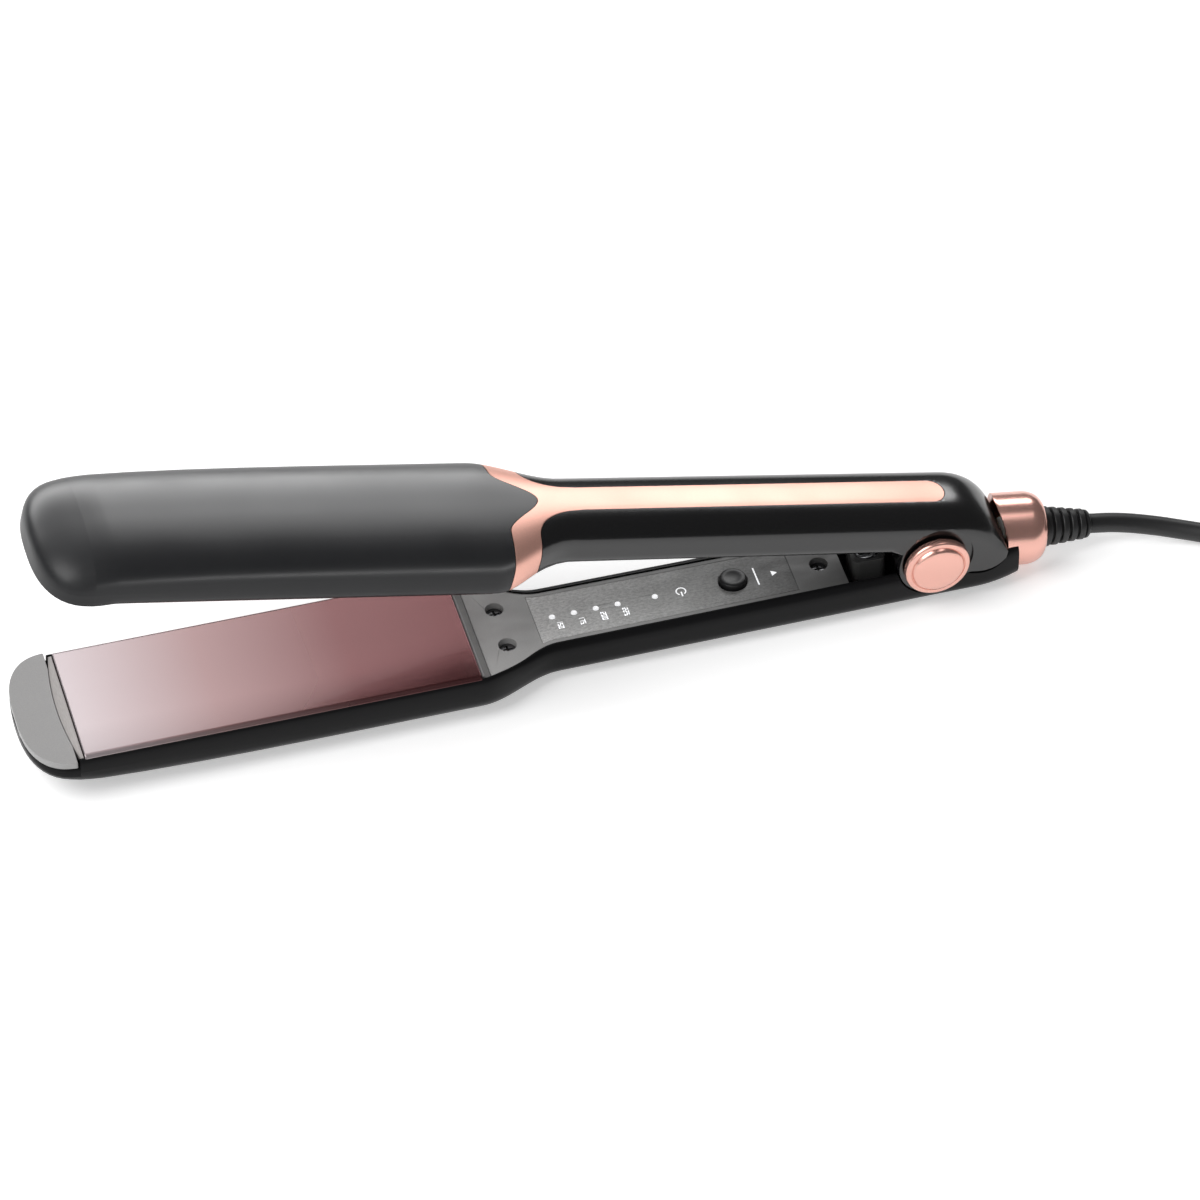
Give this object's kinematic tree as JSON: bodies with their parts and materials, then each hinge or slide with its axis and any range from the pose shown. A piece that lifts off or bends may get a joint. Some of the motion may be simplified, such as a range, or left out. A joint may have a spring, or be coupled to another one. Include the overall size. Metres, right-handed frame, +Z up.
{
  "type": "flat iron",
  "caption": "Hair flat iron with hinged arms, floating heated plates, a control panel inside the handle, and a swivel cord folded into a tied hank.",
  "frame": {"origin": "bottom centre of the flat iron without its cord, on the surface it rests on", "axes": "+X along the lower arm from tip to hinge and cord, +Y across the arms, towards the side that faces away from the front view, +Z up, from the lower arm to the upper arm"},
  "size_m": [0.4954, 0.0871, 0.0856],
  "materials": {
    "shell_black": "satin black moulding",
    "jaw_charcoal": "fine soft matte charcoal coating",
    "handle_black": "high gloss black moulding",
    "rose_trim": "satin rose gold plating",
    "rose_metal": "polished rose gold plating",
    "plate_mirror": "mirror polished rose coating",
    "cap_grey": "satin heat resistant resin",
    "bezel_steel": "satin pressed edge strip",
    "panel_grey": "fine grained grey moulding",
    "inlay_grey": "mottled grey printed overlay",
    "cover_dark": "fine grained dark moulding",
    "button_dark": "satin dark cap",
    "light_clear": "clear light pipe, lit white",
    "steel": "plain zinc plated steel",
    "heater_alloy": "plain extruded heater sleeve",
    "silicone_red": "matte moulded silicone",
    "fuse_white": "glazed fuse body",
    "board_green": "solder mask",
    "component_black": "moulded epoxy",
    "wire_red": "silicone insulation",
    "wire_blue": "silicone insulation",
    "nylon_white": "plain nylon",
    "contact_brass": "polished contacts",
    "cord_black": "soft matte cord sheath",
    "plug_black": "moulded plug body",
    "tie_black": "hook and loop strap"
  },
  "bodies": {
    "lower_arm": {"lower_shell": "shell_black", "lower_tip_cap": "cap_grey", "lower_tip_bezel": "bezel_steel", "lower_heel_bar": "cap_grey", "lower_cushions": "silicone_red", "lower_panel": "panel_grey", "panel_inlay": "inlay_grey", "panel_screws": "steel", "control_board": "board_green", "board_components": "component_black", "level_lights": "light_clear", "power_light": "light_clear", "button_switch": "cover_dark", "button_dome": "silicone_red", "lower_wires": "wire_red", "spring_cup": "cover_dark", "opening_spring": "steel", "lower_hinge_bracket": "steel", "hinge_washers": "nylon_white", "swivel_collar": "rose_metal", "cord_lead": "cord_black", "cord_hank": "cord_black", "cord_tail": "cord_black", "hank_tie": "tie_black", "plug_body": "plug_black", "plug_blades": "contact_brass"},
    "upper_arm": {"upper_hinge_bracket": "steel", "hinge_pin": "steel", "pivot_cap_near": "rose_metal", "pivot_cap_far": "rose_metal", "upper_jaw_shell": "jaw_charcoal", "upper_trim": "rose_trim", "upper_handle_shell": "handle_black", "upper_tip_cap": "cap_grey", "upper_tip_bezel": "bezel_steel", "upper_heel_bar": "cap_grey", "upper_cushions": "silicone_red", "upper_cover": "cover_dark", "upper_screws": "steel", "upper_wires": "wire_blue"},
    "lower_plate_unit": {"lower_plate": "plate_mirror", "lower_heater": "heater_alloy", "lower_heater_clip": "steel", "lower_thermal_fuse": "fuse_white"},
    "upper_plate_unit": {"upper_plate": "plate_mirror", "upper_heater": "heater_alloy", "upper_heater_clip": "steel", "upper_thermal_fuse": "fuse_white"},
    "button": {"power_button": "button_dark"},
    "swivel": {"swivel_spindle": "nylon_white", "slip_rings": "contact_brass", "strain_relief": "cord_black"}
  },
  "joints": [
    {"name": "arm_hinge", "type": "hinge", "parent": "lower_arm", "child": "upper_arm", "pos_m": [0.10377, 0, 0.016], "axis": [0, 1, 0], "range_deg": [-13, 0], "stiffness_Nm_per_rad": 1.3, "springref_deg": 21.77, "deforming": ["opening_spring"]},
    {"name": "lower_plate_float", "type": "slide", "parent": "lower_arm", "child": "lower_plate_unit", "axis": [0, 0, -1], "range_m": [0, 0.0012], "stiffness_N_per_m": 3000, "springref_m": -0.001, "deforming": ["lower_cushions"]},
    {"name": "upper_plate_float", "type": "slide", "parent": "upper_arm", "child": "upper_plate_unit", "axis": [0.225, 0, 0.9744], "range_m": [0, 0.0012], "stiffness_N_per_m": 3000, "springref_m": -0.001, "deforming": ["upper_cushions"]},
    {"name": "button_press", "type": "slide", "parent": "lower_arm", "child": "button", "axis": [0, 0, -1], "range_m": [0, 0.0007], "stiffness_N_per_m": 900, "springref_m": -0.0006, "deforming": ["button_dome"]},
    {"name": "cord_swivel", "type": "hinge", "parent": "lower_arm", "child": "swivel", "pos_m": [0.10377, 0, 0.016], "axis": [0.9848, 0, -0.1736], "continuous": true}
  ]
}
